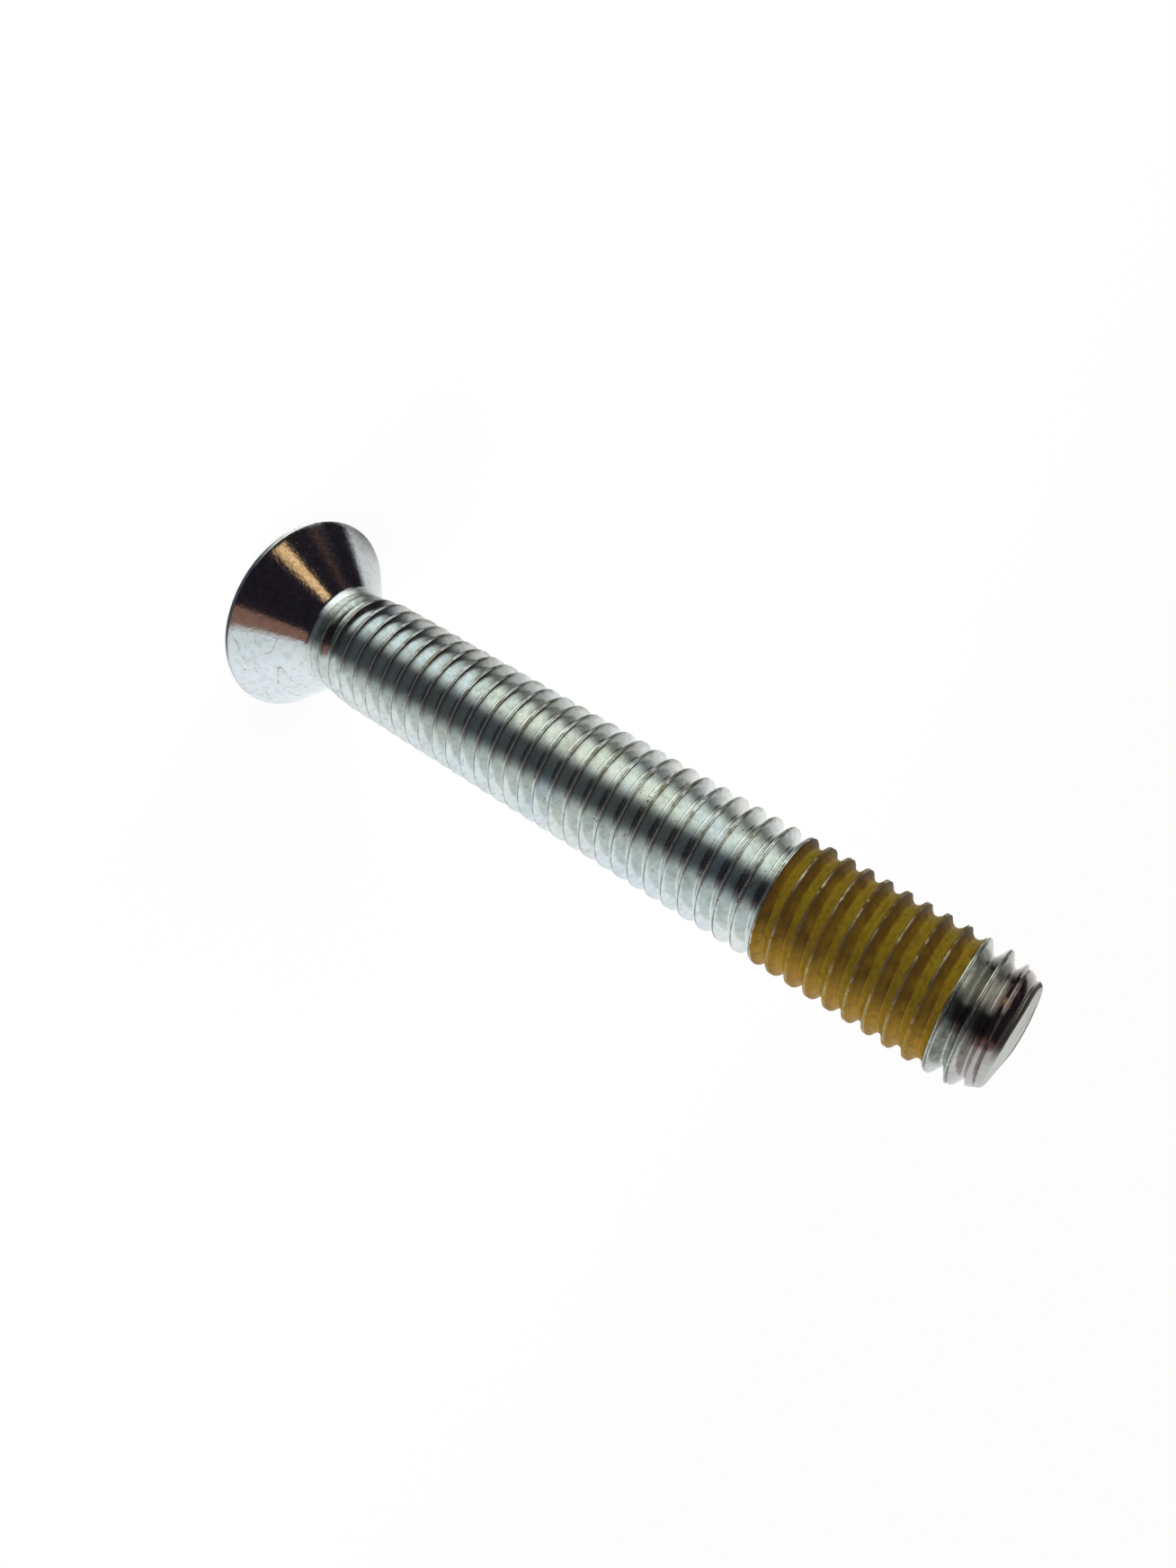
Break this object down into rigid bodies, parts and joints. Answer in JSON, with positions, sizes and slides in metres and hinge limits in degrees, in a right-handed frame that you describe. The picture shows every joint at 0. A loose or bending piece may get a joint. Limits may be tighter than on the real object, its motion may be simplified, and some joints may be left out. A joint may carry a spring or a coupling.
{
  "type": "flat head cap screw",
  "caption": "Long countersunk cap screw with a hexagon socket, coarse right-hand thread and a band of dried thread-locking coat near the tip.",
  "frame": {"origin": "centre of the head's flat top face, which the screw stands on", "axes": "+Z along the screw's axis from the head to the tip"},
  "size_m": [0.0226, 0.0226, 0.0881],
  "materials": {
    "zinc_plated_steel": "bright zinc plate with light handling scuffs",
    "thread_lock_coat": "dried amber thread-locking coat, waxy and semi-gloss"
  },
  "bodies": {
    "root": {"screw": "zinc_plated_steel"}
  },
  "joints": []
}
